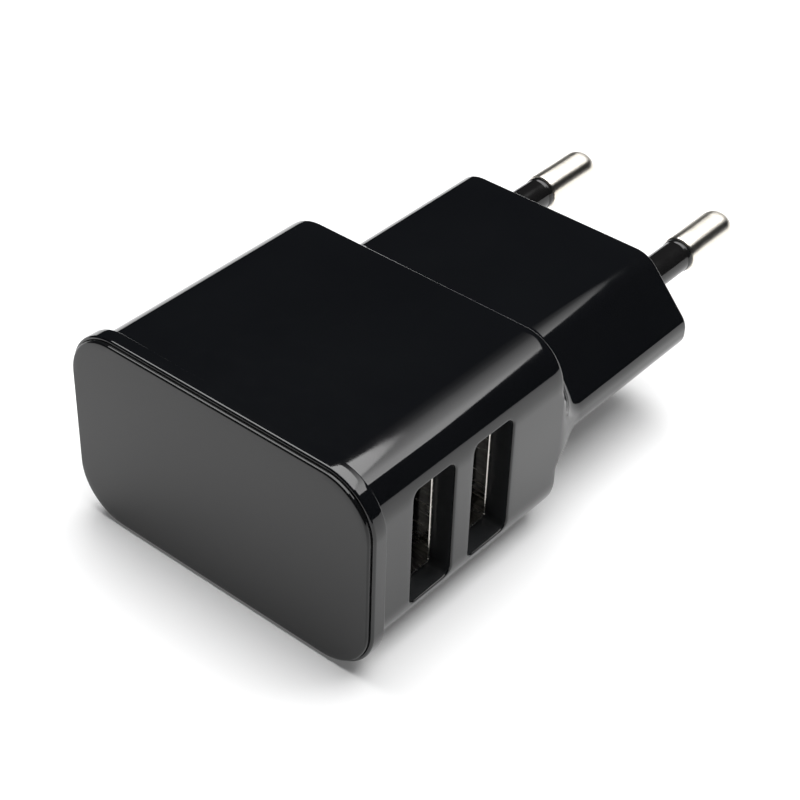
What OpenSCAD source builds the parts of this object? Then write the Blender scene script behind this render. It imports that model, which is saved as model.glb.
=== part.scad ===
// USB wall charger with two outlets in its side and a two-pin Europlug on its end.
// It lies on its wide face. +Y runs from the end cap to the pin tips, +X faces out of the USB outlets
// and +Z is up. The origin is the middle of the footprint, on the surface that it lies on.

/* [Housing] */
// Width of the body, from the blank side to the outlet side
body_w = 36; // [36:0.5:46]
// Height of the body when it lies flat
body_h = 21.3; // [21:0.1:27]
// Length from the end cap's face to the shoulder
body_l = 29.1; // [29:0.1:36]
// Radius of the body's four long edges
body_r = 5; // [3:0.5:5.5]
// Thickness of the housing's walls
wall = 1.8; // [1.4:0.1:2.2]

/* [Plug nose] */
// Width of the nose between its side faces
nose_w = 34.4; // [33:0.2:34.4]
// Width of the nose's flat top
nose_flat_w = 23.4; // [22.5:0.1:24]
// Height of the nose's side faces, from the pins' level down
nose_side_h = 2.2; // [2:0.1:3]
// Height of the nose
nose_h = 12.4; // [12:0.1:14]
// Length of the nose, from the shoulder to the engagement face
nose_l = 23.9; // [23:0.1:30]
// Length of the sweep that runs from the shoulder into the nose
sweep_l = 5.1; // [4:0.1:7]
// Thickness of the wall behind the engagement face
nose_end_t = 2.5; // [2:0.1:3]
// How far the nose and its pins sit off the body's middle, away from the outlets
plug_shift = 0.4; // [0:0.1:0.4]

/* [End cap] */
// How far the end cap's rim stands out beyond the body's sides
rim_side = 0.9; // [0.5:0.1:1.5]
// How far the rim stands out above and below the body
rim_over = 0.6; // [0.3:0.1:1.2]
// Thickness of the cap, its face plate included
cap_t = 2.1; // [1.8:0.1:3]
// Depth of the skirt that plugs into the body
skirt_l = 2.2; // [1.5:0.1:2.4]
// Thickness of the face plate
face_t = 1; // [0.8:0.1:1.2]
// How far the face plate stands out of the rim
face_proud = 0.45; // [0.3:0.05:0.6]
// Width of the ledge that shows round the face plate
face_ledge = 0.35; // [0.2:0.05:0.6]

/* [Pins] */
// Diameter of the pins' bare tips
pin_d = 4; // [3.5:0.1:4.8]
// Length of the pins from the engagement face
pin_l = 19; // [17:0.5:20]
// Distance between the pins' centres
pin_pitch = 18.8; // [17.5:0.1:19]
// Diameter of the insulating sleeves
sleeve_d = 3.6; // [3.4:0.1:4.4]
// Length of the sleeves from the engagement face
sleeve_l = 10; // [9:0.5:11]
// Diameter of the pins' core, inside the sleeves
core_d = 2.8; // [2.4:0.1:3]

/* [USB outlets] */
// Long side of each outlet's window
window_h = 13.5; // [13.3:0.1:14]
// Short side of each outlet's window
window_w = 5.9; // [5.8:0.1:6.4]
// Corner radius of the windows
window_r = 0.9; // [0.4:0.1:1.5]
// Distance between the outlets' centres
window_pitch = 8.5; // [8.3:0.1:10.2]
// Centre of the first outlet, from the end cap's face
window_first = 9.7; // [9.7:0.1:10]
// Depth of each window in front of its metal shell
recess = 2.4; // [2.2:0.1:2.8]
// Long side of the metal shell
shell_h = 13.1; // [13.1:0.1:13.2]
// Short side of the metal shell
shell_w = 5.7; // [5.7:0.1:5.8]
// Length of the metal shell
shell_l = 10.5; // [10:0.1:11.5]
// Thickness of the shell's sheet metal
shell_t = 0.3; // [0.25:0.05:0.4]
// Distance from the shell's mouth back to the tongue
tongue_back = 2.1; // [1.8:0.1:2.5]

/* [Circuit board] */
// Thickness of the board
board_t = 1.6; // [1.2:0.1:1.6]
// Gap between the board's edges and the body's side walls
board_gap = 1.9; // [1.8:0.1:2.6]
// Length of the two input capacitors
input_cap_l = 12; // [9:0.5:12]
// Radius of the two output capacitors
output_cap_r = 2.4; // [2:0.1:2.5]
// Height of the two output capacitors
output_cap_h = 11; // [7:0.5:12]
// Clearance between pieces that seat in one another
clearance = 0.05; // [0.03:0.01:0.1]

/* [Hidden] */
$fn = 48;

// Levels and stations that the pieces share
cap_w = body_w + 2 * rim_side;
cap_h = body_h + 2 * rim_over;
cap_r = body_r + (rim_side + rim_over) / 2;
mid_z = cap_h / 2;
total_l = body_l + nose_l + pin_l;
face_y = -total_l / 2;
rim_y = face_y + face_proud;
body_y = face_y + cap_t;
shoulder_y = face_y + body_l;
nose_end_y = shoulder_y + nose_l;
tip_y = total_l / 2;

// Inside of the housing
cavity_w = body_w - 2 * wall;
nose_wall = wall - 0.1;
seat_depth = face_t - face_proud;

// Board and what stands on it
board_top = mid_z - shell_h / 2;
board_w = cavity_w - 2 * board_gap;
board_y = body_y + skirt_l + 0.4;
board_end = shoulder_y - wall - 0.2;
shell_mouth_x = body_w / 2 - recess;
shell_back_x = shell_mouth_x - shell_l;
windows_y = [face_y + window_first, face_y + window_first + window_pitch];

// Plug end, from the engagement face inwards
flange_t = 1.2;
carrier_t = 4;
eye_t = 0.6;
collar_t = 0.8;
carrier_end_y = nose_end_y - nose_end_t - flange_t;
eye_end_y = carrier_end_y - carrier_t;
collar_end_y = eye_end_y - eye_t;
collar_r = core_d / 2 + 0.8;
strip_t = 0.5;
strip_room = nose_w / 2 - nose_wall - pin_pitch / 2 - collar_r;
strip_x = pin_pitch / 2 + collar_r + 0.3 * strip_room;
strip_z = mid_z - nose_side_h / 2;
strip_h = nose_side_h - 0.2;
input_cap_r = nose_h / 2 - nose_wall - 0.5;
lead_r = 0.25;

// Points along the arc that rounds the corner at q, between its neighbours p and s
function corner_arc(p, q, s, r, steps) =
    let (
        u = (p - q) / norm(p - q),
        v = (s - q) / norm(s - q),
        half = acos(u * v) / 2,
        along = r / tan(half),
        centre = q + (u + v) / norm(u + v) * r / sin(half),
        a = q + u * along - centre,
        b = q + v * along - centre,
        sweep = 180 - 2 * half
    )
    [for (i = [0:steps]) centre + (a * sin(sweep * (1 - i / steps)) + b * sin(sweep * i / steps)) / sin(sweep)];

// Outline of a polygon whose corners are rounded, corner by corner
function rounded(points, radii, steps = 8) = [
    for (i = [0:len(points) - 1])
        each corner_arc(
            points[(i + len(points) - 1) % len(points)], points[i], points[(i + 1) % len(points)],
            radii[i], steps
        )
];

function box_corners(w, h) = [[w / 2, -h / 2], [w / 2, h / 2], [-w / 2, h / 2], [-w / 2, -h / 2]];

// Eight corners of the nose's section, shrunk by inset on every side: a flat top and bottom, upright
// sides and a bevel at each corner, with one slope for all four bevels
function nose_corners(inset) =
    let (
        h = nose_h / 2,
        w = nose_w / 2,
        f = nose_flat_w / 2,
        slope = atan2(w - f, h),
        top_in = inset * tan((90 - slope) / 2),
        side_in = inset * tan(slope / 2),
        bottom_f = w - (h - nose_side_h) * tan(slope) - top_in,
        low = side_in - nose_side_h
    )
    [
        [bottom_f, inset - h], [w - inset, low], [w - inset, -side_in], [f - top_in, h - inset],
        [top_in - f, h - inset], [inset - w, -side_in], [inset - w, low], [-bottom_f, inset - h]
    ];

// Corner radii of the nose; the side ones are limited by the side faces' height
side_r = min(2.2, 0.45 * nose_side_h / tan(atan2((nose_w - nose_flat_w) / 2, nose_h / 2) / 2));
nose_radii = [2, side_r, side_r, 3.5, 3.5, side_r, side_r, 2];

// Eight corners of the section where the sweep leaves the shoulder. Its sides are the body's, from low_z
// to high_z, and its top and bottom keep a plain step below the body's.
sweep_low_z = -nose_side_h - 1.2;
sweep_high_z = 4.4;
function sweep_corners() =
    let (
        w = body_w / 2,
        bottom = -nose_h / 2 - 1,
        bottom_f = nose_corners(0)[0].x + 1,
        top = nose_h / 2 + 3,
        top_f = w - 3
    )
    [
        [bottom_f, bottom], [w, sweep_low_z], [w, sweep_high_z], [top_f, top],
        [-top_f, top], [-w, sweep_high_z], [-w, sweep_low_z], [-bottom_f, bottom]
    ];

sweep_radii = [2, 1, 1, 2, 2, 1, 1, 2];

// Lays a flat outline across the part, from station y for length l
module across(y, l) {
    translate([0, y + l, mid_z]) rotate([90, 0, 0]) linear_extrude(l) children();
}

module body_outline(inset = 0) {
    w = body_w - 2 * inset;
    h = body_h - 2 * inset;
    polygon(rounded(box_corners(w, h), [for (i = [0:3]) body_r - inset]));
}

module nose_outline(inset = 0) {
    translate([-plug_shift, 0]) polygon(rounded(nose_corners(inset), nose_radii * (inset > 0 ? 0.3 : 1), 5));
}

module cap_outline(inset = 0) {
    polygon(rounded(box_corners(cap_w - 2 * inset, cap_h - 2 * inset), [for (i = [0:3]) cap_r - inset]));
}

module window_outline() {
    polygon(rounded(box_corners(window_w, window_h), [for (i = [0:3]) window_r], 5));
}

// How the sweep leaves the shoulder at a point of its first ring: 0 on the sides, where the body flows
// into the nose, and 1 above and below them, where it is a steep hollow
function steepness(p) = min(1, max(0, p.y - sweep_high_z + 0.5, sweep_low_z + 0.5 - p.y));

// Sweep from the shoulder into the nose, as rings of matching points
module shoulder_sweep() {
    rings = 9;
    root = 0.3;
    start = rounded(sweep_corners(), sweep_radii, 5);
    finish = [for (p = rounded(nose_corners(0), nose_radii, 5)) p - [plug_shift, 0]];
    count = len(start);
    points = [
        for (k = [0:rings])
            let (
                rise = (sweep_l + root) * sin(90 * k / rings) - root,
                left = 1 - max(0, rise) / sweep_l,
                hollow = pow(left, 1.35),
                flow = (1 - cos(180 * left)) / 2
            )
            for (i = [0:count - 1])
                let (
                    steep = steepness(start[i]),
                    share = steep * hollow + (1 - steep) * flow,
                    p = finish[i] + (start[i] - finish[i]) * share
                )
                [p.x, shoulder_y + rise, mid_z + p.y]
    ];
    sides = [
        for (k = [0:rings - 1], i = [0:count - 1])
            let (a = k * count + i, b = k * count + (i + 1) % count)
            each [[a, b, a + count], [b, b + count, a + count]]
    ];
    polyhedron(
        points,
        concat([[for (i = [count - 1:-1:0]) i]], sides, [[for (i = [0:count - 1]) rings * count + i]]),
        convexity = 4
    );
}

// Box that spans the window's wall at one outlet
module window_cut(y) {
    translate([body_w / 2 + 1, y, mid_z]) rotate([0, -90, 0]) rotate([0, 0, 90])
        linear_extrude(recess + 3) window_outline();
}

// ---- Housing and end cap ----

// One moulded shell: body, shoulder and plug nose, open at the end cap's side
module housing() {
    frame_t = recess - wall - 0.1;
    color("#15171a") difference() {
        union() {
            across(body_y, shoulder_y - body_y) body_outline();
            across(shoulder_y, nose_l) nose_outline();
            shoulder_sweep();
        }
        difference() {
            across(body_y - 1, shoulder_y - wall - body_y + 1) body_outline(wall);
            translate([
                body_w / 2 - wall - frame_t, windows_y[0] - window_w / 2 - 1.2, mid_z - window_h / 2 - 1
            ]) cube([frame_t + 1, window_pitch + window_w + 2.4, window_h + 2]);
        }
        across(shoulder_y - wall - 1, nose_l + wall + 1 - nose_end_t) nose_outline(nose_wall);
        for (y = windows_y) window_cut(y);
        for (side = [-1, 1])
            translate([pin_x(side), nose_end_y - nose_end_t - 1, mid_z]) rotate([-90, 0, 0])
                cylinder(h = nose_end_t + 2, d = sleeve_d + 2 * clearance);
    }
}

// Rim that closes the body, with a seat for the face plate and a skirt that plugs into the body
module end_cap() {
    skirt_gap = wall + clearance;
    color("#141619") difference() {
        union() {
            across(rim_y, body_y - rim_y) cap_outline();
            across(body_y, skirt_l) body_outline(skirt_gap);
        }
        across(rim_y - 1, seat_depth + 1) cap_outline(face_ledge - clearance);
        across(body_y, skirt_l + 1) body_outline(skirt_gap + 1);
    }
}

// Smooth plate bonded into the rim
module face_plate() {
    color("#25282b") across(face_y, face_t) cap_outline(face_ledge);
}

// ---- Plug end ----

function pin_x(side) = side * pin_pitch / 2 - plug_shift;

// Turned pin: bare tip with a round end, core inside the sleeve, collar behind the contact strip
module pin(side) {
    tip_r = pin_d / 2;
    core_r = core_d / 2;
    step_y = nose_end_y + sleeve_l;
    color("#cfd2d4") translate([pin_x(side), 0, mid_z]) {
        translate([0, step_y, 0]) rotate([-90, 0, 0]) cylinder(h = pin_l - sleeve_l - tip_r, r = tip_r);
        translate([0, tip_y - tip_r, 0]) sphere(r = tip_r);
        translate([0, collar_end_y, 0]) rotate([-90, 0, 0])
            cylinder(h = step_y - collar_end_y, r = core_r);
        translate([0, collar_end_y - collar_t, 0]) rotate([-90, 0, 0])
            cylinder(h = collar_t, r = collar_r);
    }
}

// Insulating sleeve, held by a flange behind the housing's end wall
module pin_sleeve(side) {
    y = nose_end_y - nose_end_t - flange_t;
    color("#101113") translate([pin_x(side), y, mid_z]) rotate([-90, 0, 0]) difference() {
        union() {
            cylinder(h = flange_t + nose_end_t + sleeve_l, d = sleeve_d);
            cylinder(h = flange_t, d = sleeve_d + 1.8);
        }
        translate([0, 0, -1]) cylinder(h = flange_t + nose_end_t + sleeve_l + 2, r = core_d / 2 + 0.02);
    }
}

// Block that fills the nose's section and holds both pins' cores
module pin_carrier() {
    color("#3a3d40") difference() {
        across(eye_end_y, carrier_t) nose_outline(nose_wall + clearance);
        for (side = [-1, 1])
            translate([pin_x(side), eye_end_y - 1, mid_z]) rotate([-90, 0, 0])
                cylinder(h = carrier_t + 2, r = core_d / 2 + 0.02);
    }
}

// Brass strip from the pin's core, along the nose's side and down to the board
module contact_strip(side) {
    leg_y = board_end - 0.8;
    leg_x = board_w / 2 - 1.6;
    leg_l = 0.7;
    eye_w = core_d + 1;
    color("#c9a45a") translate([-plug_shift, 0, 0]) mirror([side < 0 ? 1 : 0, 0, 0]) difference() {
        union() {
            translate([pin_pitch / 2 - eye_w / 2, collar_end_y, mid_z - eye_w / 2]) cube([eye_w, eye_t, eye_w]);
            translate([pin_pitch / 2, collar_end_y, strip_z - strip_h / 2])
                cube([strip_x + strip_t - pin_pitch / 2, eye_t, strip_h]);
            translate([strip_x, leg_y, strip_z - strip_h / 2]) cube([strip_t, eye_end_y - leg_y, strip_h]);
            translate([min(strip_x, leg_x), leg_y, strip_z - strip_h / 2])
                cube([abs(strip_x - leg_x) + strip_t, leg_l, strip_h]);
            translate([leg_x, leg_y, board_top]) cube([strip_t, leg_l, strip_z - board_top]);
        }
        translate([pin_pitch / 2, collar_end_y - 1, mid_z]) rotate([-90, 0, 0])
            cylinder(h = eye_t + 2, r = core_d / 2 + 0.02);
    }
}

// ---- USB outlets ----

// Folded metal shell, open at its mouth
module usb_shell(y) {
    color("#c4c6c8") translate([shell_back_x, y, mid_z]) difference() {
        translate([0, -shell_w / 2, -shell_h / 2]) cube([shell_l, shell_w, shell_h]);
        translate([-1, shell_t - shell_w / 2, shell_t - shell_h / 2])
            cube([shell_l + 2, shell_w - 2 * shell_t, shell_h - 2 * shell_t]);
    }
}

tongue_w = 11.1;
tongue_t = 1.84;
tongue_y = 0.64;
tongue_base_l = 2;
// Insulating block that closes the shell's back, with the tongue that carries the contacts
module usb_tongue(y) {
    inner_w = shell_w - 2 * (shell_t + clearance);
    inner_h = shell_h - 2 * (shell_t + clearance);
    color("#17181a") translate([shell_back_x, y, mid_z]) {
        translate([0, -inner_w / 2, -inner_h / 2]) cube([tongue_base_l, inner_w, inner_h]);
        translate([0, tongue_y - tongue_t / 2, -tongue_w / 2])
            cube([shell_l - tongue_back, tongue_t, tongue_w]);
    }
}

// Four contact strips on the tongue's open side
module usb_contacts(y) {
    contact_t = 0.3;
    color("#d8b25e") for (z = [-3.5, -1, 1, 3.5])
        translate([shell_back_x + tongue_base_l, y + tongue_y - tongue_t / 2 - contact_t, mid_z + z - 0.5])
            cube([shell_l - tongue_back - tongue_base_l - 0.8, contact_t, 1]);
}

// ---- Circuit board and what stands on it ----

module circuit_board() {
    color("#1e5a3a") translate([-board_w / 2, board_y, board_top - board_t])
        cube([board_w, board_end - board_y, board_t]);
}

// Stands a piece on the board, at x and at a distance behind the cap's face
module on_board(x, y) {
    translate([x, face_y + y, board_top]) children();
}

core_x = shell_back_x - 9.3;
core_y = 15.9;
core_lift = 1.5;
core_l = 13;
core_h = 12;
core_t = 6;
core_leg = 1.7;
core_back = 2;
core_mid = 2.8;
bobbin_w = 12.2;
bobbin_l = 9.2;
bobbin_wall = 0.6;

// Two ferrite halves that meet round the winding
module transformer_core() {
    inner_h = core_h - 2 * core_back;
    inner_l = core_l - 2 * core_leg;
    color("#3b3d40") on_board(core_x, core_y) translate([0, 0, core_lift]) union() {
        difference() {
            translate([-core_t / 2, -core_l / 2, 0]) cube([core_t, core_l, core_h]);
            translate([-core_t / 2 - 1, -inner_l / 2, core_back]) cube([core_t + 2, inner_l, inner_h]);
        }
        translate([-core_t / 2, -core_mid / 2, core_back]) cube([core_t, core_mid, inner_h]);
    }
}

// Coil former with two flanges, two feet and a bore for the core's middle leg
module transformer_bobbin() {
    room_h = core_h - 2 * core_back - 2 * clearance;
    hole_x = core_t + 2 * clearance;
    hole_y = core_mid + 2 * clearance;
    foot_w = (bobbin_w - core_t) / 2 - 0.4;
    color("#4a2f24") on_board(core_x, core_y) {
        translate([0, 0, core_lift + core_back + clearance]) difference() {
            union() {
                for (z = [0, room_h - bobbin_wall])
                    translate([-bobbin_w / 2, -bobbin_l / 2, z]) cube([bobbin_w, bobbin_l, bobbin_wall]);
                translate([-hole_x / 2 - bobbin_wall, -hole_y / 2 - bobbin_wall, 0])
                    cube([hole_x + 2 * bobbin_wall, hole_y + 2 * bobbin_wall, room_h]);
            }
            translate([-hole_x / 2, -hole_y / 2, -1]) cube([hole_x, hole_y, room_h + 2]);
        }
        for (side = [-1, 1])
            translate([side * (bobbin_w - foot_w) / 2 - foot_w / 2, -bobbin_l / 2, 0])
                cube([foot_w, bobbin_l, core_lift + core_back + clearance + bobbin_wall]);
    }
}

// Copper winding under its yellow tape
module transformer_winding() {
    tube_x = core_t + 2 * (clearance + bobbin_wall) + 0.04;
    tube_y = core_mid + 2 * (clearance + bobbin_wall) + 0.04;
    room_h = core_h - 2 * core_back - 2 * clearance - 2 * bobbin_wall - 0.04;
    color("#d9b93a") on_board(core_x, core_y)
        translate([0, 0, core_lift + core_back + clearance + bobbin_wall + 0.02]) difference() {
            linear_extrude(room_h)
                polygon(rounded(box_corners(bobbin_w - 0.8, bobbin_l - 0.4), [1.6, 1.6, 1.6, 1.6], 5));
            translate([-tube_x / 2, -tube_y / 2, -1]) cube([tube_x, tube_y, room_h + 2]);
        }
}

// Can that lies in the nose, with its two leads bent down to the board
module input_capacitor(side) {
    can_x = side * (input_cap_r + 0.3) - plug_shift;
    can_y = shoulder_y + 2;
    drop_y = board_end - 0.3;
    color("#22262c") translate([can_x, can_y, mid_z]) rotate([-90, 0, 0])
        cylinder(h = input_cap_l, r = input_cap_r);
    color("#d4d6d8") for (k = [-1, 1])
        translate([can_x + k * 1.25, drop_y, 0]) {
            translate([0, 0, mid_z]) rotate([-90, 0, 0]) cylinder(h = can_y - drop_y, r = lead_r);
            translate([0, 0, mid_z]) sphere(r = lead_r);
            translate([0, 0, board_top]) cylinder(h = mid_z - board_top, r = lead_r);
        }
}

output_caps_x = [shell_back_x - 3.5, shell_back_x - 3.5 + 2 * output_cap_r + 0.4];
module output_capacitor(x) {
    color("#2a3040") translate([x, shoulder_y - wall - 1.2 - output_cap_r, board_top])
        cylinder(h = output_cap_h, r = output_cap_r);
}

// Small moulded package with metal leads along its two long sides
module chip(body, leads, lead_span, pitch) {
    color("#1a1b1d") translate([-body.x / 2, -body.y / 2, 0.1]) cube([body.x, body.y, body.z]);
    color("#c8cacc") for (i = [0:leads - 1])
        translate([-lead_span / 2, (i - (leads - 1) / 2) * pitch - 0.2, 0]) cube([lead_span, 0.4, 0.3]);
}

board_left = -board_w / 2;
module bridge_rectifier() {
    on_board(board_left + 3.4, 7.2) chip([3.6, 3.9, 2.4], 2, 5.2, 2.5);
}

module optocoupler() {
    on_board(core_x - 1, 7) chip([4.2, 3.4, 2.6], 2, 5.6, 2.2);
}

// Ceramic disc that bridges the transformer's two sides
module safety_capacitor() {
    disc_r = 3.3;
    disc_t = 2.4;
    color("#2d62a8") on_board(shell_back_x - 4.3, 6.4)
        translate([0, disc_t / 2, disc_r + 1]) rotate([90, 0, 0]) cylinder(h = disc_t, r = disc_r);
    color("#d4d6d8") for (k = [-1, 1]) on_board(shell_back_x - 4.3 + k * 2, 6.4) cylinder(h = 2.6, r = 0.3);
}

// Ceramic-coated resistor that lies on the board along its edge
module fuse_resistor() {
    fuse_r = 1.3;
    color("#4f8f7c") on_board(board_left + fuse_r + 0.3, 11) translate([0, 0, fuse_r + 0.2]) rotate([-90, 0, 0])
        cylinder(h = 7.5, r = fuse_r);
    color("#d4d6d8") for (y = [10.4, 19.1]) on_board(board_left + fuse_r + 0.3, y) {
        cylinder(h = fuse_r + 0.2, r = lead_r);
        translate([0, 0, fuse_r + 0.2]) sphere(r = lead_r);
        translate([0, y < 15 ? 0 : -0.7, fuse_r + 0.2]) rotate([-90, 0, 0]) cylinder(h = 0.7, r = lead_r);
    }
}

// Wound drum between two ferrite flanges
module filter_choke() {
    drum_r = 2.3;
    color("#2c2d30") translate([board_left + drum_r + 0.1, shoulder_y - wall - 3.9, board_top]) {
        cylinder(h = 1, r = drum_r);
        translate([0, 0, 1]) cylinder(h = 4.5, r = drum_r - 0.5);
        translate([0, 0, 5.5]) cylinder(h = 1, r = drum_r);
    }
}

module controller_chip() {
    translate([core_x - 0.6, shoulder_y - wall - 3.2, board_top]) chip([3.9, 4.4, 1.4], 4, 5.8, 1.1);
}

module charge_chip() {
    translate([shell_back_x + 5, (windows_y[0] + windows_y[1]) / 2, board_top]) rotate([0, 0, 90])
        chip([1.6, 2.8, 1], 3, 2.4, 0.95);
}

module output_diode() {
    translate([board_w / 2 - 2.2, shoulder_y - wall - 3.6, board_top]) rotate([0, 0, 90])
        chip([3.6, 2.4, 2], 1, 4.6, 1);
}

// Six chip resistors under the transformer's core
module chip_resistors() {
    color("#2b2b2d") for (x = [-1.2, 1.2], y = [-2.4, 0, 2.4])
        on_board(core_x + x, core_y + y) translate([-0.6, -0.9, 0]) cube([1.2, 1.8, 0.5]);
}

housing();
end_cap();
face_plate();
pin(-1);  // left_pin
pin(1);  // right_pin
pin_sleeve(-1);  // left_pin_sleeve
pin_sleeve(1);  // right_pin_sleeve
pin_carrier();
contact_strip(-1);  // left_contact_strip
contact_strip(1);  // right_contact_strip
usb_shell(windows_y[0]);  // front_usb_shell
usb_shell(windows_y[1]);  // rear_usb_shell
usb_tongue(windows_y[0]);  // front_usb_tongue
usb_tongue(windows_y[1]);  // rear_usb_tongue
usb_contacts(windows_y[0]);  // front_usb_contacts
usb_contacts(windows_y[1]);  // rear_usb_contacts
circuit_board();
transformer_core();
transformer_bobbin();
transformer_winding();
input_capacitor(-1);  // left_input_capacitor
input_capacitor(1);  // right_input_capacitor
output_capacitor(output_caps_x[0]);  // inner_output_capacitor
output_capacitor(output_caps_x[1]);  // outer_output_capacitor
bridge_rectifier();
optocoupler();
safety_capacitor();
fuse_resistor();
filter_choke();
controller_chip();
charge_chip();
output_diode();
chip_resistors();
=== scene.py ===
"""A glossy black USB wall charger with a two-pin plug, on a pale table in soft studio light."""

import bmesh
import bpy
import math
import mathutils
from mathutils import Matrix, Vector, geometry
import numpy as np


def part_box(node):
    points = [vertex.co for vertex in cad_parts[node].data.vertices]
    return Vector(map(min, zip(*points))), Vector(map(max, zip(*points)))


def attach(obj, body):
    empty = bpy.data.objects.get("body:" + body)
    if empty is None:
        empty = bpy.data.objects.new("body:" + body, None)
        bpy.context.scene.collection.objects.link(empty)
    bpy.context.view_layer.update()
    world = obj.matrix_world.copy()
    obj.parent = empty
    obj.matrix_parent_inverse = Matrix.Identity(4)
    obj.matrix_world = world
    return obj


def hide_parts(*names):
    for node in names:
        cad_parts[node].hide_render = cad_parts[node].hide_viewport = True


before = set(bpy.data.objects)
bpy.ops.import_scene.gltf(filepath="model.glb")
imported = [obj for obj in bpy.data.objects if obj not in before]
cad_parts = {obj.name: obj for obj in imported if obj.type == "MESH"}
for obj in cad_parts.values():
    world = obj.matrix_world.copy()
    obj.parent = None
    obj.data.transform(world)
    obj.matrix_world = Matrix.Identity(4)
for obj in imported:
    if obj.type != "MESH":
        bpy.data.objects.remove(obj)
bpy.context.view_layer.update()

MM = 0.001

# Driving sizes in millimetres, in the frame of the CAD model: +Y along the pins, +X out of the outlets
HOUSING_LOW, HOUSING_HIGH = [np.array(corner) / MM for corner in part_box("housing")]
CAP_LOW, CAP_HIGH = [np.array(corner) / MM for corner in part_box("end_cap")]
PLATE_LOW = np.array(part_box("face_plate")[0]) / MM
SLEEVE_HIGH = np.array(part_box("right_pin_sleeve")[1]) / MM
PIN_LOW, PIN_HIGH = [np.array(corner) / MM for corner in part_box("right_pin")]
SHELL_LOW, SHELL_HIGH = [np.array(corner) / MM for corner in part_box("front_usb_shell")]

MID_Z = (CAP_LOW[2] + CAP_HIGH[2]) / 2
BODY_W = HOUSING_HIGH[0] - HOUSING_LOW[0]
BODY_H = HOUSING_HIGH[2] - HOUSING_LOW[2]
BODY_R = 5.0
BODY_Y = HOUSING_LOW[1]
SHOULDER_Y = -6.9
NOSE_END_Y = HOUSING_HIGH[1]
NOSE_W = 34.4
NOSE_FLAT_W = 23.4
NOSE_H = 12.4
NOSE_SIDE_H = 2.2
NOSE_RADII = [2, 2.2, 2.2, 3.5, 3.5, 2.2, 2.2, 2]
SHOULDER_EDGE_R = 0.5
NOSE_EDGE_R = 0.35

# The sweep flows from the body's sides, between these two levels, into the nose
SWEEP_L = 5.1
SWEEP_LOW_Z = -NOSE_SIDE_H - 1.2
SWEEP_HIGH_Z = 4.4
SWEEP_RADII = [2, 1, 1, 2, 2, 1, 1, 2]
SWEEP_STEPS = 24

PLUG_SHIFT = 0.4
PIN_PITCH = 18.8
PIN_R = 2.0
SLEEVE_R = 1.8
SLEEVE_L = 10
SLEEVE_GAP = 0.12
CORE_R = 1.4

WINDOW_W = 5.9
WINDOW_H = 13.5
WINDOW_R = 0.9
WINDOW_LIP = 0.22
WINDOWS_Y = (-26.3, -17.8)
WINDOW_MARGIN = 0.12
RECESS_X = 15.3

# The part of the outlet side that is set into the housing's rings, with the windows in it
PANEL_FIRST_Y = BODY_Y + 1.5
PANEL_LAST_Y = SHOULDER_Y - 2.5
PANEL_HALF_H = 8.6
PANEL_STEP = 0.5

CAP_W = CAP_HIGH[0] - CAP_LOW[0]
CAP_H = CAP_HIGH[2] - CAP_LOW[2]
CAP_R = 5.75
RIM_Y = CAP_LOW[1]
PLATE_INSET = 0.35
PLATE_EDGE_R = 0.22

SHELL_W = SHELL_HIGH[1] - SHELL_LOW[1]
SHELL_H = SHELL_HIGH[2] - SHELL_LOW[2]
SHELL_R = 0.55
SHELL_T = 0.3
SHELL_EDGE = 0.08


# ---- Outlines, as closed rows of (across, up) points round the pins' level ----

def corner_arc(before, corner, after, radius, steps):
    """Points along the arc that rounds one corner of a polygon."""
    u = (before - corner) / np.linalg.norm(before - corner)
    v = (after - corner) / np.linalg.norm(after - corner)
    half = math.acos(float(u @ v)) / 2
    centre = corner + (u + v) / np.linalg.norm(u + v) * radius / math.sin(half)
    first = corner + u * radius / math.tan(half) - centre
    last = corner + v * radius / math.tan(half) - centre
    sweep = math.pi - 2 * half
    shares = np.linspace(0, 1, steps + 1)
    return [
        centre + (first * math.sin(sweep * (1 - t)) + last * math.sin(sweep * t)) / math.sin(sweep)
        for t in shares
    ]


def rounded(corners, radii, steps=24):
    """Outline of a polygon whose corners are rounded."""
    corners = [np.array(c, float) for c in corners]
    count = len(corners)
    points = []
    for i, corner in enumerate(corners):
        points += corner_arc(corners[i - 1], corner, corners[(i + 1) % count], radii[i], steps)
    return np.array(points)


def box_outline(width, height, radius, steps=24):
    """Outline of a box with rounded corners."""
    w, h = width / 2, height / 2
    return rounded([(w, -h), (w, h), (-w, h), (-w, -h)], [radius] * 4, steps)


def mirrored(right_half):
    """Adds the left half to the corners of a section, so that they run right round."""
    return right_half + [(-x, z) for x, z in reversed(right_half)]


def nose_outline():
    """Section of the plug nose: flat top and bottom, upright sides and four bevels of one slope."""
    h, w, f = NOSE_H / 2, NOSE_W / 2, NOSE_FLAT_W / 2
    bottom_f = w - (h - NOSE_SIDE_H) * (w - f) / h
    section = rounded(mirrored([(bottom_f, -h), (w, -NOSE_SIDE_H), (w, 0), (f, h)]), NOSE_RADII)
    return section - np.array([PLUG_SHIFT, 0])


def pin_x(side):
    """Place of a pin's axis across the part; side is -1 for the left pin and 1 for the right one."""
    return side * PIN_PITCH / 2 - PLUG_SHIFT


def sweep_outline():
    """Section where the sweep leaves the shoulder: the body's sides, and a step below its top."""
    h, w = NOSE_H / 2, BODY_W / 2
    bottom_f = NOSE_W / 2 - (h - NOSE_SIDE_H) * (NOSE_W - NOSE_FLAT_W) / NOSE_H + 1
    half = [(bottom_f, -h - 1), (w, SWEEP_LOW_Z), (w, SWEEP_HIGH_Z), (w - 3, h + 3)]
    return rounded(mirrored(half), SWEEP_RADII)


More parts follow.
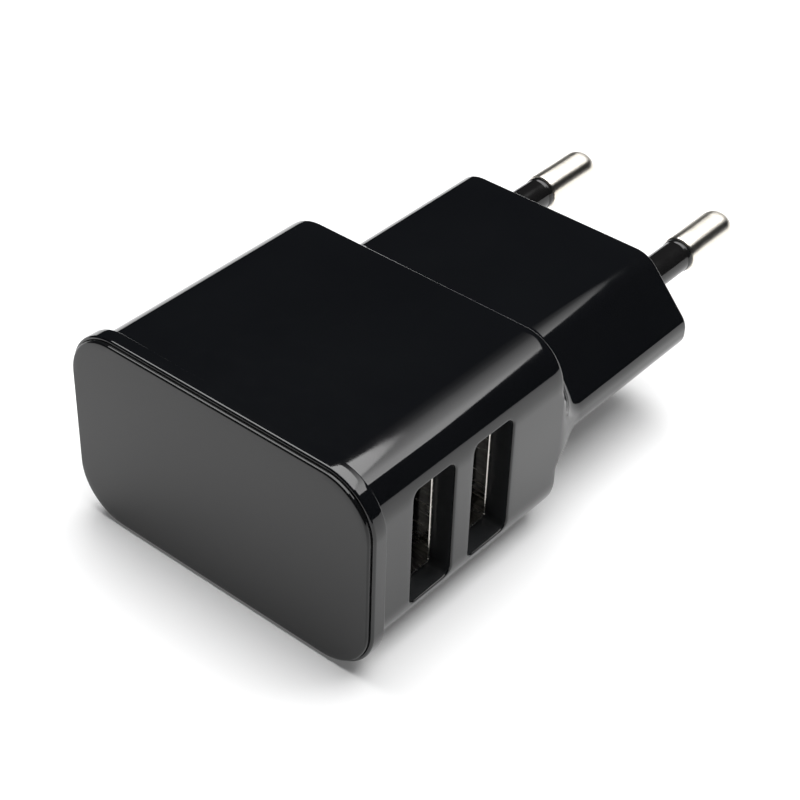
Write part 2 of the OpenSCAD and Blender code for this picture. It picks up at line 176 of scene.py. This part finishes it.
def cast(outline, directions):
    """Points where rays from the middle of a section cross its outline."""
    angles = np.arctan2(outline[:, 1], outline[:, 0])
    order = np.argsort(angles)
    points = outline[order]
    angles = angles[order]
    points = np.vstack([points[-1:], points, points[:1]])
    angles = np.concatenate([[angles[-1] - 2 * math.pi], angles, [angles[0] + 2 * math.pi]])
    hits = []
    for direction in directions:
        i = min(max(np.searchsorted(angles, direction), 1), len(angles) - 1)
        a, b = points[i - 1], points[i]
        ray = np.array([math.cos(direction), math.sin(direction)])
        edge = b - a
        cross = ray[0] * edge[1] - ray[1] * edge[0]
        reach = (a[0] * edge[1] - a[1] * edge[0]) / cross
        hits.append(ray * reach)
    return np.array(hits)


def outward(ring):
    """Unit normals of a closed row of points, in its own plane."""
    along = np.roll(ring, -1, axis=0) - np.roll(ring, 1, axis=0)
    normals = np.column_stack([along[:, 1], -along[:, 0]])
    return normals / np.linalg.norm(normals, axis=1)[:, None]


def smooth(x):
    """Eases from 0 to 1 as x goes from 0 to 1, and stays level outside that."""
    x = np.clip(x, 0, 1)
    return x * x * (3 - 2 * x)


def quarter_turn(steps):
    """Angles from 0 to a right angle, for rounding an edge."""
    return np.linspace(0, math.pi / 2, steps)


def circle(x, radius, steps):
    """Circle round an axis at the pins' level."""
    angles = np.linspace(0, 2 * math.pi, steps, endpoint=False)
    return [(x + radius * math.cos(a), radius * math.sin(a)) for a in angles]


def inset_outline(width, height, radius, inset, steps=14):
    """Rounded box that is drawn in on every side."""
    return box_outline(width - 2 * inset, height - 2 * inset, max(radius - inset, 0.05), steps)


# ---- Mesh helpers ----

def ring_points(bm, outline, y):
    """One ring of vertices across the part at station y, which may vary from point to point."""
    y = np.broadcast_to(y, (len(outline),))
    return [bm.verts.new((p[0] * MM, v * MM, (MID_Z + p[1]) * MM)) for p, v in zip(outline, y)]


def bridge(bm, first, second, skip=(), material=0):
    """Faces between two closed rings of matching points."""
    count = len(first)
    for i in range(count):
        if i in skip:
            continue
        j = (i + 1) % count
        bm.faces.new((first[i], first[j], second[j], second[i])).material_index = material


def bridge_all(bm, rings):
    """Faces between each ring and the next."""
    for first, second in zip(rings, rings[1:]):
        bridge(bm, first, second)


def loop_edges(base, count):
    """Edges of a closed loop whose points are numbered from base on."""
    return [(base + i, base + (i + 1) % count) for i in range(count)]


def fill_flat(spots, edges):
    """Points of a flat area that keeps the given edges, and pairs of each triangle and its middle."""
    corners = [mathutils.Vector(s) for s in spots]
    result = geometry.delaunay_2d_cdt(corners, edges, [], 0, 1e-5)
    points, triangles = result[0], result[2]
    middles = [sum((points[i] for i in t), mathutils.Vector((0, 0))) / 3 for t in triangles]
    return points, list(zip(triangles, middles))


def make_object(name, bm, materials):
    """Object that holds the finished mesh."""
    mesh = bpy.data.meshes.new(name)
    bm.to_mesh(mesh)
    bm.free()
    for material in materials:
        mesh.materials.append(material)
    made = bpy.data.objects.new(name, mesh)
    bpy.context.collection.objects.link(made)
    return made


def finish_mesh(name, bm, materials, node, sharp_angle, flat_y=None):
    """Makes the piece that stands for a CAD node, with smooth, area-weighted normals, but flat at flat_y."""
    bmesh.ops.remove_doubles(bm, verts=bm.verts, dist=2e-7)
    bmesh.ops.recalc_face_normals(bm, faces=bm.faces)
    for face in bm.faces:
        face.smooth = flat_y is None or any(abs(v.co.y / MM - flat_y) > 1e-4 for v in face.verts)
    for edge in bm.edges:
        if len(edge.link_faces) == 2 and edge.calc_face_angle(0) > math.radians(sharp_angle):
            edge.smooth = False
    piece = make_object(name, bm, materials)
    weighted = piece.modifiers.new("weighted normals", "WEIGHTED_NORMAL")
    weighted.keep_sharp = True
    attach(piece, "root")
    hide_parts(node)


# ---- Materials ----

# The part of a noise field's range that its colour and roughness follow
FIELD_LOW, FIELD_HIGH = 0.3, 0.7


def new_material(name):
    """A material with its node tree, its shader and the part's own coordinates."""
    material = bpy.data.materials.new(name)
    material.use_nodes = True
    tree = material.node_tree
    shader = tree.nodes["Principled BSDF"]
    place = tree.nodes.new("ShaderNodeTexCoord")
    return material, tree, shader, place.outputs["Object"]


def add_noise(tree, place, scale, detail=3, stretch=(1, 1, 1)):
    """A noise field over the part; scale is in features per metre."""
    mapping = tree.nodes.new("ShaderNodeMapping")
    mapping.inputs["Scale"].default_value = stretch
    tree.links.new(place, mapping.inputs["Vector"])
    noise = tree.nodes.new("ShaderNodeTexNoise")
    noise.inputs["Scale"].default_value = scale
    noise.inputs["Detail"].default_value = detail
    tree.links.new(mapping.outputs["Vector"], noise.inputs["Vector"])
    return noise.outputs["Fac"]


def add_range(tree, value, low, high):
    """Turns a field's middle range into the range from low to high."""
    remap = tree.nodes.new("ShaderNodeMapRange")
    remap.inputs["From Min"].default_value = FIELD_LOW
    remap.inputs["From Max"].default_value = FIELD_HIGH
    remap.inputs["To Min"].default_value = low
    remap.inputs["To Max"].default_value = high
    tree.links.new(value, remap.inputs["Value"])
    return remap.outputs["Result"]


def add_tint(tree, value, dark, light):
    """Turns a field's middle range into the colours from dark to light."""
    ramp = tree.nodes.new("ShaderNodeValToRGB")
    ramp.color_ramp.elements[0].position = FIELD_LOW
    ramp.color_ramp.elements[0].color = (*dark, 1)
    ramp.color_ramp.elements[1].position = FIELD_HIGH
    ramp.color_ramp.elements[1].color = (*light, 1)
    tree.links.new(value, ramp.inputs["Fac"])
    return ramp.outputs["Color"]


def add_bump(tree, shader, height, depth):
    """Raises the surface by a field; depth is in millimetres."""
    bump = tree.nodes.new("ShaderNodeBump")
    bump.inputs["Distance"].default_value = depth * MM
    tree.links.new(height, bump.inputs["Height"])
    tree.links.new(bump.outputs["Normal"], shader.inputs["Normal"])


def plastic(name, dark, light, roughness, cloud=60, grain=9000, grain_depth=0.0006, ior=1.5):
    """Moulded plastic: a faint cloud in its colour and gloss, and a fine moulded grain."""
    material, tree, shader, place = new_material(name)
    clouds = add_noise(tree, place, cloud, 4)
    tree.links.new(add_tint(tree, clouds, dark, light), shader.inputs["Base Color"])
    wear = add_noise(tree, place, cloud * 9, 5)
    tree.links.new(add_range(tree, wear, *roughness), shader.inputs["Roughness"])
    add_bump(tree, shader, add_noise(tree, place, grain, 2), grain_depth)
    shader.inputs["IOR"].default_value = ior
    return material


def metal(name, dark, light, roughness, stretch=(1, 1, 1), grain=3000, grain_depth=0.0008):
    """Bare or plated metal with faint working marks."""
    material, tree, shader, place = new_material(name)
    marks = add_noise(tree, place, grain, 3, stretch)
    tree.links.new(add_tint(tree, marks, dark, light), shader.inputs["Base Color"])
    tree.links.new(add_range(tree, marks, *roughness), shader.inputs["Roughness"])
    add_bump(tree, shader, marks, grain_depth)
    shader.inputs["Metallic"].default_value = 1.0
    return material


def turned_metal(name, dark, light, roughness):
    """Plated metal whose fine turning marks spread its highlights along the piece's Y axis."""
    material, tree, shader, place = new_material(name)
    marks = add_noise(tree, place, 9000, 2, (0.03, 1, 0.03))
    tree.links.new(add_tint(tree, marks, dark, light), shader.inputs["Base Color"])
    tree.links.new(add_range(tree, marks, *roughness), shader.inputs["Roughness"])
    add_bump(tree, shader, marks, 0.0001)
    around = tree.nodes.new("ShaderNodeTangent")
    around.direction_type = "RADIAL"
    around.axis = "Y"
    tree.links.new(around.outputs["Tangent"], shader.inputs["Tangent"])
    shader.inputs["Metallic"].default_value = 1.0
    shader.inputs["Anisotropic"].default_value = 0.85
    shader.inputs["Anisotropic Rotation"].default_value = 0.25
    return material


def tinted(colour, share):
    """A colour made lighter or darker by one share."""
    return tuple(min(channel * share, 1.0) for channel in colour)


gloss_black = plastic("gloss_black", (0.0035, 0.0038, 0.0045), (0.0045, 0.0049, 0.0056), (0.03, 0.07))
satin_black = plastic(
    "satin_black", (0.0045, 0.0047, 0.005), (0.006, 0.0062, 0.0066), (0.05, 0.10), cloud=90, ior=1.4,
)
sleeve_black = plastic(
    "sleeve_black", (0.005, 0.005, 0.0052), (0.008, 0.0078, 0.0078), (0.08, 0.14), ior=1.42,
)
recess_black = plastic(
    "recess_black", (0.010, 0.011, 0.012), (0.017, 0.018, 0.019), (0.3, 0.42),
    cloud=900, grain=5000, grain_depth=0.004,
)
nickel = turned_metal("nickel_plate", (0.80, 0.75, 0.67), (0.90, 0.86, 0.78), (0.28, 0.34))
tinned_steel = metal(
    "tinned_steel", (0.42, 0.40, 0.37), (0.62, 0.60, 0.56), (0.16, 0.30), stretch=(0.1, 1, 1),
)

# The pieces inside keep their CAD shapes: finish, colour, roughness and the nodes that it covers
MOULDED_INSIDE = [
    ("carrier_grey", (0.04, 0.042, 0.046), (0.35, 0.5), ["pin_carrier"]),
    ("tongue_black", (0.02, 0.021, 0.023), (0.35, 0.5), ["front_usb_tongue", "rear_usb_tongue"]),
    ("ferrite_grey", (0.045, 0.046, 0.05), (0.5, 0.7), ["transformer_core", "filter_choke"]),
    ("bobbin_brown", (0.07, 0.03, 0.018), (0.35, 0.5), ["transformer_bobbin"]),
    ("capacitor_sleeve", (0.02, 0.026, 0.045), (0.15, 0.3),
     ["left_input_capacitor", "right_input_capacitor", "inner_output_capacitor", "outer_output_capacitor"]),
    ("chip_epoxy", (0.012, 0.012, 0.013), (0.45, 0.65),
     ["bridge_rectifier", "optocoupler", "controller_chip", "charge_chip", "output_diode",
      "chip_resistors"]),
    ("disc_lacquer", (0.03, 0.12, 0.36), (0.2, 0.35), ["safety_capacitor"]),
    ("resistor_ceramic", (0.08, 0.27, 0.2), (0.4, 0.6), ["fuse_resistor"]),
]
METAL_INSIDE = [
    ("brass_strip", (0.7, 0.48, 0.2), (0.2, 0.35), ["left_contact_strip", "right_contact_strip"]),
    ("gold_contact", (0.83, 0.6, 0.25), (0.15, 0.25), ["front_usb_contacts", "rear_usb_contacts"]),
]


def layered(name, colour, roughness, period, direction, depth):
    """Woven or wound sheet: fine bands across one direction, over a faint cloud."""
    material, tree, shader, place = new_material(name)
    clouds = add_noise(tree, place, 700, 4)
    tint = add_tint(tree, clouds, tinted(colour, 0.8), tinted(colour, 1.15))
    tree.links.new(tint, shader.inputs["Base Color"])
    tree.links.new(add_range(tree, clouds, *roughness), shader.inputs["Roughness"])
    bands = tree.nodes.new("ShaderNodeTexWave")
    bands.bands_direction = direction
    bands.inputs["Scale"].default_value = math.pi / 10 / (period * MM)
    bands.inputs["Distortion"].default_value = 1.5
    tree.links.new(place, bands.inputs["Vector"])
    add_bump(tree, shader, bands.outputs["Fac"], depth)
    return material


def dress(names, material):
    """Gives CAD nodes that stay in the model their finish."""
    for name in names:
        for material_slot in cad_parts[name].material_slots:
            material_slot.material = material


def dress_inside():
    """Gives every CAD node that no Blender piece stands for its finish."""
    for name, colour, roughness, nodes in MOULDED_INSIDE:
        finish = plastic(name, tinted(colour, 0.8), tinted(colour, 1.2), roughness, cloud=500, grain=6000,
                         grain_depth=0.004)
        dress(nodes, finish)
    for name, colour, roughness, nodes in METAL_INSIDE:
        finish = metal(name, tinted(colour, 0.85), tinted(colour, 1.1), roughness, stretch=(1, 0.1, 1))
        dress(nodes, finish)
    laminate = layered("board_laminate", (0.02, 0.16, 0.07), (0.25, 0.4), 0.4, "DIAGONAL", 0.004)
    dress(["circuit_board"], laminate)
    tape = layered("winding_tape", (0.72, 0.5, 0.06), (0.2, 0.35), 1.2, "Z", 0.01)
    dress(["transformer_winding"], tape)


# ---- Housing ----

def body_rear_rings(body, start):
    """Rounds the body's rear edge and runs down its rear wall to the sweep's first section."""
    loose = smooth(np.linalg.norm(body - start, axis=1) / 0.8)
    normals = outward(body)
    rings = []
    for turn in quarter_turn(7):
        inset = SHOULDER_EDGE_R * (1 - math.cos(turn)) * loose
        y = SHOULDER_Y - SHOULDER_EDGE_R * (1 - math.sin(turn))
        rings.append((body - normals * inset[:, None], y))
    edge = rings[-1][0]
    rings.append(((edge + start) / 2, SHOULDER_Y))
    return rings


def sweep_rings(start, finish):
    """Flows from the shoulder into the nose: soft on the sides, a steep hollow above and below."""
    above = smooth((start[:, 1] - 3.0) / 2.4)
    below = smooth((SWEEP_LOW_Z + 1.0 - start[:, 1]) / 1.6)
    steep = np.maximum(above, below)
    rings = []
    for k in range(SWEEP_STEPS + 1):
        rise = SWEEP_L * math.sin(math.pi / 2 * k / SWEEP_STEPS)
        left = 1 - rise / SWEEP_L
        hollow = left ** 1.35
        flow = (1 - math.cos(math.pi * left)) / 2
        share = steep * hollow + (1 - steep) * flow
        rings.append((finish + (start - finish) * share[:, None], SHOULDER_Y + rise))
    return rings


def window_ring(y, grow, steps=8):
    """(y, up) points round an outlet's window, drawn out by grow."""
    outline = box_outline(WINDOW_W + 2 * grow, WINDOW_H + 2 * grow, WINDOW_R + grow, steps)
    return [(y + p[0], p[1]) for p in outline]


def inside_window(y, z):
    """Is this spot of the side inside an outlet's window, its rounded lip included?"""
    for window_y in WINDOWS_Y:
        dy = abs(y - window_y) - (WINDOW_W / 2 - WINDOW_R)
        dz = abs(z) - (WINDOW_H / 2 - WINDOW_R)
        if math.hypot(max(dy, 0), max(dz, 0)) < WINDOW_R + WINDOW_LIP - 1e-4:
            return True
    return False


def near_window(y, z):
    """Is this spot too close to a window's lip for a vertex of its own?"""
    reach_y = WINDOW_W / 2 + WINDOW_LIP + WINDOW_MARGIN
    reach_z = WINDOW_H / 2 + WINDOW_LIP + WINDOW_MARGIN
    return any(abs(y - window_y) < reach_y and abs(z) < reach_z for window_y in WINDOWS_Y)


def side_panel(bm, column):
    """The outlet side with its windows. column holds the section's points there."""
    heights = [p[1] for p in column]

    def side_x(z):
        return float(np.interp(z, heights, [p[0] for p in column]))

    spots = [(PANEL_FIRST_Y, z) for z in heights] + [(PANEL_LAST_Y, z) for z in reversed(heights)]
    edges = loop_edges(0, len(spots))
    for window_y in WINDOWS_Y:
        loop = window_ring(window_y, WINDOW_LIP)
        edges += loop_edges(len(spots), len(loop))
        spots += loop
    for y in np.arange(PANEL_FIRST_Y + PANEL_STEP, PANEL_LAST_Y, PANEL_STEP):
        for z in heights[1:-1]:
            if not inside_window(y, z) and not near_window(y, z):
                spots.append((y, z))
    points, triangles = fill_flat(spots, edges)
    found = [bm.verts.new((side_x(v.y) * MM, v.x * MM, (MID_Z + v.y) * MM)) for v in points]
    for triangle, middle in triangles:
        if not inside_window(middle.x, middle.y):
            bm.faces.new([found[i] for i in triangle])
    for window_y in WINDOWS_Y:
        window_walls(bm, window_y, side_x)


def window_walls(bm, window_y, side_x):
    """Rounds a window's lip and runs its walls in to the metal shell."""
    lip = []
    for turn in quarter_turn(6):
        loop = window_ring(window_y, WINDOW_LIP * (1 - math.sin(turn)))
        drop = WINDOW_LIP * (1 - math.cos(turn))
        lip.append([(side_x(z) - drop, y, z) for y, z in loop])
    walls = [[(x + (RECESS_X - x) * share, y, z) for x, y, z in lip[-1]] for share in (0.3, 0.65, 1.0)]
    made = [[bm.verts.new((x * MM, y * MM, (MID_Z + z) * MM)) for x, y, z in ring] for ring in lip + walls]
    for k, (first, second) in enumerate(zip(made, made[1:])):
        bridge(bm, first, second, material=0 if k < len(lip) - 1 else 1)


def end_face(bm, ring):
    """The engagement face, with a hole for each sleeve."""
    hole_r = SLEEVE_R + SLEEVE_GAP
    steps = 48
    spots = [(v.co.x / MM, v.co.z / MM - MID_Z) for v in ring]
    edges = loop_edges(0, len(spots))
    for side in (-1, 1):
        edges += loop_edges(len(spots), steps)
        spots += circle(pin_x(side), hole_r, steps)
    points, triangles = fill_flat(spots, edges)
    found = [bm.verts.new((v.x * MM, NOSE_END_Y * MM, (MID_Z + v.y) * MM)) for v in points]
    for triangle, middle in triangles:
        if min(math.hypot(middle.x - pin_x(side), middle.y) for side in (-1, 1)) > hole_r:
            bm.faces.new([found[i] for i in triangle])
    for side in (-1, 1):
        bridge_all(bm, [
            ring_points(bm, circle(pin_x(side), hole_r - inset, steps), NOSE_END_Y - depth)
            for inset, depth in ((0, 0), (0.05, 0.05), (0.07, 0.2), (0.07, 1.5))
        ])


def build_housing():
    """The body, shoulder and nose as one skin of matching rings, with the outlet side set in."""
    count = 480
    directions = np.linspace(-math.pi, math.pi, count, endpoint=False)
    body = cast(box_outline(BODY_W, BODY_H, BODY_R), directions)
    start = cast(sweep_outline(), directions)
    nose = cast(nose_outline(), directions)
    panel = [i for i in range(count) if body[i][0] > 0 and abs(body[i][1]) < PANEL_HALF_H]

    bm = bmesh.new()
    rings = [(body, BODY_Y), (body, PANEL_FIRST_Y), (body, PANEL_LAST_Y), (body, SHOULDER_Y - 1.2)]
    rings += body_rear_rings(body, start)
    rings += sweep_rings(start, nose)
    for y in (NOSE_END_Y - 12, NOSE_END_Y - 3):
        rings.append((nose, y))
    normals = outward(nose)
    for turn in quarter_turn(7):
        inset = NOSE_EDGE_R * (1 - math.cos(turn))
        rings.append((nose - normals * inset, NOSE_END_Y - NOSE_EDGE_R * (1 - math.sin(turn))))
    made = [ring_points(bm, points, y) for points, y in rings]
    for k, (first, second) in enumerate(zip(made, made[1:])):
        bridge(bm, first, second, skip=panel[:-1] if k == 1 else ())
    side_panel(bm, [body[i] for i in panel])
    end_face(bm, made[-1])
    materials = [gloss_black, recess_black]
    finish_mesh("housing_skin", bm, materials, "housing", 50, flat_y=NOSE_END_Y)


# ---- End cap and face plate ----

def front_edge(y, radius):
    """(inset, y) pairs round the edge where a piece starts."""
    return [(radius * (1 - math.sin(t)), y + radius * (1 - math.cos(t))) for t in quarter_turn(6)]


def rear_edge(y, radius):
    """(inset, y) pairs round the edge where a piece ends."""
    return [(radius * (1 - math.cos(t)), y - radius * (1 - math.sin(t))) for t in quarter_turn(6)]


def cap_rings(bm, profile):
    """Skin through the (inset, y) pairs of a profile that runs round the end cap."""
    made = [ring_points(bm, inset_outline(CAP_W, CAP_H, CAP_R, inset), y) for inset, y in profile]
    bridge_all(bm, made)
    return made


def build_end_cap():
    """The rim: a ledge round the face plate, a rounded front and rear edge and a skirt in the body."""
    profile = [(0.36, RIM_Y + 0.5), (0.36, RIM_Y + 0.06), (0.30, RIM_Y)]
    profile += front_edge(RIM_Y, 0.25)
    profile += [(0, BODY_Y - 0.6)]
    profile += rear_edge(BODY_Y, 0.15)
    profile += [(0.85, BODY_Y), (2.0, BODY_Y)]
    bm = bmesh.new()
    cap_rings(bm, profile)
    finish_mesh("end_cap_rim", bm, [gloss_black], "end_cap", 60)


def build_face_plate():
    """The plate, with a softly rounded edge that stands out of the rim."""
    face_y = PLATE_LOW[1]
    profile = [(PLATE_INSET, face_y + 0.9), (PLATE_INSET, face_y + 0.25)]
    profile += [
        (PLATE_INSET + PLATE_EDGE_R * (1 - math.cos(t)), face_y + PLATE_EDGE_R * (1 - math.sin(t)))
        for t in quarter_turn(6)
    ]
    profile += [(1.2, face_y)]
    bm = bmesh.new()
    made = cap_rings(bm, profile)
    bm.faces.new(made[-1])
    finish_mesh("face_plate_skin", bm, [satin_black], "face_plate", 60)


# ---- Pins and sleeves ----

def lathe(name, x, profile, material, node):
    """Turns (radius, y) pairs round a pin's axis."""
    bm = bmesh.new()
    bridge_all(bm, [ring_points(bm, circle(x, radius, 72), y) for radius, y in profile])
    finish_mesh(name, bm, [material], node, 45)


def build_pin(side, name):
    """Bare tip with a rounded end and a small step where it comes out of its sleeve."""
    sleeve_end_y = NOSE_END_Y + SLEEVE_L
    step_y = sleeve_end_y + 0.02
    edge_r = 0.15
    tip_y = PIN_HIGH[1]
    profile = [(CORE_R, PIN_LOW[1] + 1), (CORE_R, sleeve_end_y - 0.3), (CORE_R, step_y)]
    profile += [
        (PIN_R - edge_r + edge_r * math.sin(t), step_y + edge_r * (1 - math.cos(t))) for t in quarter_turn(5)
    ]
    profile += [(PIN_R, sleeve_end_y + 2), (PIN_R, sleeve_end_y + 4)]
    profile += [
        (max(PIN_R * math.cos(t), 0.001), tip_y - PIN_R * (1 - math.sin(t))) for t in quarter_turn(20)
    ]
    lathe(name + "_turned", pin_x(side), profile, nickel, name)


def build_sleeve(side, name):
    """Insulating sleeve with a slightly thicker ring at its end."""
    end_y = SLEEVE_HIGH[1]
    profile = [(SLEEVE_R, NOSE_END_Y - 2), (SLEEVE_R, end_y - 0.75), (SLEEVE_R + 0.03, end_y - 0.68)]
    profile += [(SLEEVE_R + 0.07, end_y - 0.6), (SLEEVE_R + 0.07, end_y - 0.12)]
    profile += [(SLEEVE_R - 0.05 + 0.12 * math.cos(t), end_y - 0.12 * (1 - math.sin(t)))
                for t in np.linspace(0.3, math.pi / 2, 4)]
    profile += [(CORE_R + 0.02, end_y)]
    lathe(name + "_moulded", pin_x(side), profile, sleeve_black, name)


# ---- USB shells ----

def build_usb_shell(window_y, name):
    """Folded metal tube with round folds, a softened mouth and two spring fingers."""
    bm = bmesh.new()
    mouth_x, back_x = SHELL_HIGH[0], SHELL_LOW[0]
    profile = [
        (0, back_x), (0, mouth_x - 2), (0, mouth_x - SHELL_EDGE), (SHELL_EDGE, mouth_x),
        (SHELL_T - SHELL_EDGE, mouth_x), (SHELL_T, mouth_x - SHELL_EDGE), (SHELL_T, mouth_x - 2),
        (SHELL_T, back_x), (0, back_x),
    ]
    made = []
    for inset, x in profile:
        loop = inset_outline(SHELL_W, SHELL_H, SHELL_R, inset, 6)
        made.append([bm.verts.new((x * MM, (window_y + p[0]) * MM, (MID_Z + p[1]) * MM)) for p in loop])
    bridge_all(bm, made)
    for height in (-2.8, 2.8):
        add_finger(bm, window_y - SHELL_W / 2 + SHELL_T, height, mouth_x)
    finish_mesh(name + "_folded", bm, [tinned_steel], name, 40)


def add_finger(bm, wall_y, height, mouth_x):
    """A spring finger that bows inwards from the shell's wall and runs back to the wall at its end near the
    mouth.
    """
    rows = []
    for share in np.linspace(0, 1, 14):
        x = mouth_x - 1.0 - 5.0 * (1 - share)
        bow = 0.05 + 0.55 * math.sin(math.pi * min(share * 1.12, 1.0)) ** 1.5
        rows.append((x, wall_y + bow))
    sheets = [
        [[bm.verts.new((x * MM, (y - depth) * MM, (MID_Z + z) * MM)) for x, y in rows]
         for z in (height - 0.8, height + 0.8)]
        for depth in (0, 0.18)
    ]
    inner, outer = sheets
    for a, b in zip(range(len(rows) - 1), range(1, len(rows))):
        bm.faces.new((inner[0][a], inner[0][b], inner[1][b], inner[1][a]))
        bm.faces.new((outer[0][a], outer[1][a], outer[1][b], outer[0][b]))
        for k in (0, 1):
            bm.faces.new((inner[k][a], inner[k][b], outer[k][b], outer[k][a]))
    for end in (0, -1):
        bm.faces.new((inner[0][end], inner[1][end], outer[1][end], outer[0][end]))


# ---- Studio ----

LAMP_HEIGHT = 0.62
# The table's own faint glow is painted fill light: it lifts the shadows round the charger, though the table
# is no lamp
TABLE_PAINTED_FILL_GLOW = 0.12

# The window of light behind: how bright it is at shares of its width, from the blank side to the outlets'
WINDOW_GLOW = (
    (0.0, 0.0), (0.175, 0.03), (0.3, 0.09), (0.416, 0.25),
    (0.533, 0.40), (0.66, 0.58), (0.8, 0.9), (1.0, 1.0),
)


def add_rectangle(name, low, high, z, material):
    """A level rectangle between two corners, in metres."""
    bm = bmesh.new()
    corners = [(low[0], low[1], z), (high[0], low[1], z), (high[0], high[1], z), (low[0], high[1], z)]
    bm.faces.new([bm.verts.new(c) for c in corners])
    rectangle = make_object(name, bm, [material])


def glowing(name, strength, shares=((0.0, 1.0), (1.0, 1.0))):
    """A lamp's face, whose brightness changes from share to share of its width."""
    material = bpy.data.materials.new(name)
    material.use_nodes = True
    tree = material.node_tree
    tree.nodes.clear()
    out = tree.nodes.new("ShaderNodeOutputMaterial")
    glow = tree.nodes.new("ShaderNodeEmission")
    glow.inputs["Strength"].default_value = strength
    place = tree.nodes.new("ShaderNodeTexCoord")
    split = tree.nodes.new("ShaderNodeSeparateXYZ")
    ramp = tree.nodes.new("ShaderNodeValToRGB")
    for k, (share, level) in enumerate(shares):
        element = ramp.color_ramp.elements[k] if k < 2 else ramp.color_ramp.elements.new(share)
        element.position = share
        element.color = (level, level, level, 1)
    tree.links.new(place.outputs["Generated"], split.inputs["Vector"])
    tree.links.new(split.outputs["X"], ramp.inputs["Fac"])
    tree.links.new(ramp.outputs["Color"], glow.inputs["Color"])
    tree.links.new(glow.outputs["Emission"], out.inputs["Surface"])
    return material


def build_studio():
    """A white table that glows faintly as painted fill light, a soft lamp overhead and a window of light
    behind, whose far edge is sharp.
    """
    table_painted_fill_material, tree, shader, place = new_material("white_table_painted_fill_glow")
    tint = add_tint(tree, add_noise(tree, place, 4), (0.80, 0.80, 0.80), (0.83, 0.83, 0.83))
    tree.links.new(tint, shader.inputs["Base Color"])
    shader.inputs["Roughness"].default_value = 0.6
    shader.inputs["Specular IOR Level"].default_value = 0.2
    # Painted fill light: the table emits a little light of its own, which lightens its shadows
    shader.inputs["Emission Color"].default_value = (1, 1, 1, 1)
    shader.inputs["Emission Strength"].default_value = TABLE_PAINTED_FILL_GLOW
    add_rectangle("table", (-0.65, -0.65), (0.65, 0.65), 0, table_painted_fill_material)
    overhead_glow = glowing("overhead_glow", 6.0)
    add_rectangle("overhead_lamp", (-0.52, -0.15), (0.36, 0.42), LAMP_HEIGHT, overhead_glow)
    window_glow = glowing("window_glow", 4.9, WINDOW_GLOW)
    window_low = (-0.6 * LAMP_HEIGHT, 0.42)
    window_high = (0.9 * LAMP_HEIGHT, 0.98 * LAMP_HEIGHT)
    add_rectangle("window_lamp", window_low, window_high, LAMP_HEIGHT, window_glow)

    world = bpy.data.worlds.new("dark_studio")
    world.use_nodes = True
    world.node_tree.nodes["Background"].inputs["Color"].default_value = (0.004, 0.005, 0.0075, 1)
    bpy.context.scene.world = world


def build_camera():
    """Long lens, from the front right and above, with the small roll of a hand-held view."""
    azimuth, elevation, roll = [math.radians(v) for v in (38.828, 38.115, 2.048)]
    back = mathutils.Vector((
        math.sin(azimuth) * math.cos(elevation),
        -math.cos(azimuth) * math.cos(elevation),
        math.sin(elevation),
    ))
    level_right = (-back).cross(mathutils.Vector((0, 0, 1))).normalized()
    level_up = level_right.cross(-back)
    right = math.cos(roll) * level_right + math.sin(roll) * level_up
    up = math.cos(roll) * level_up - math.sin(roll) * level_right
    data = bpy.data.cameras.new("camera")
    data.lens = 86.65
    data.sensor_width = 36.0
    data.clip_start = 0.01
    camera = bpy.data.objects.new("camera", data)
    bpy.context.collection.objects.link(camera)
    pose = mathutils.Matrix((right, up, back)).transposed().to_4x4()
    pose.translation = mathutils.Vector((96.28, -129.04, 127.94)) * MM
    camera.matrix_world = pose
    bpy.context.scene.camera = camera


dress_inside()
build_housing()
build_end_cap()
build_face_plate()
build_pin(-1, "left_pin")
build_pin(1, "right_pin")
build_sleeve(-1, "left_pin_sleeve")
build_sleeve(1, "right_pin_sleeve")
build_usb_shell(WINDOWS_Y[0], "front_usb_shell")
build_usb_shell(WINDOWS_Y[1], "rear_usb_shell")
build_studio()
build_camera()
bpy.context.scene.view_settings.view_transform = "Standard"
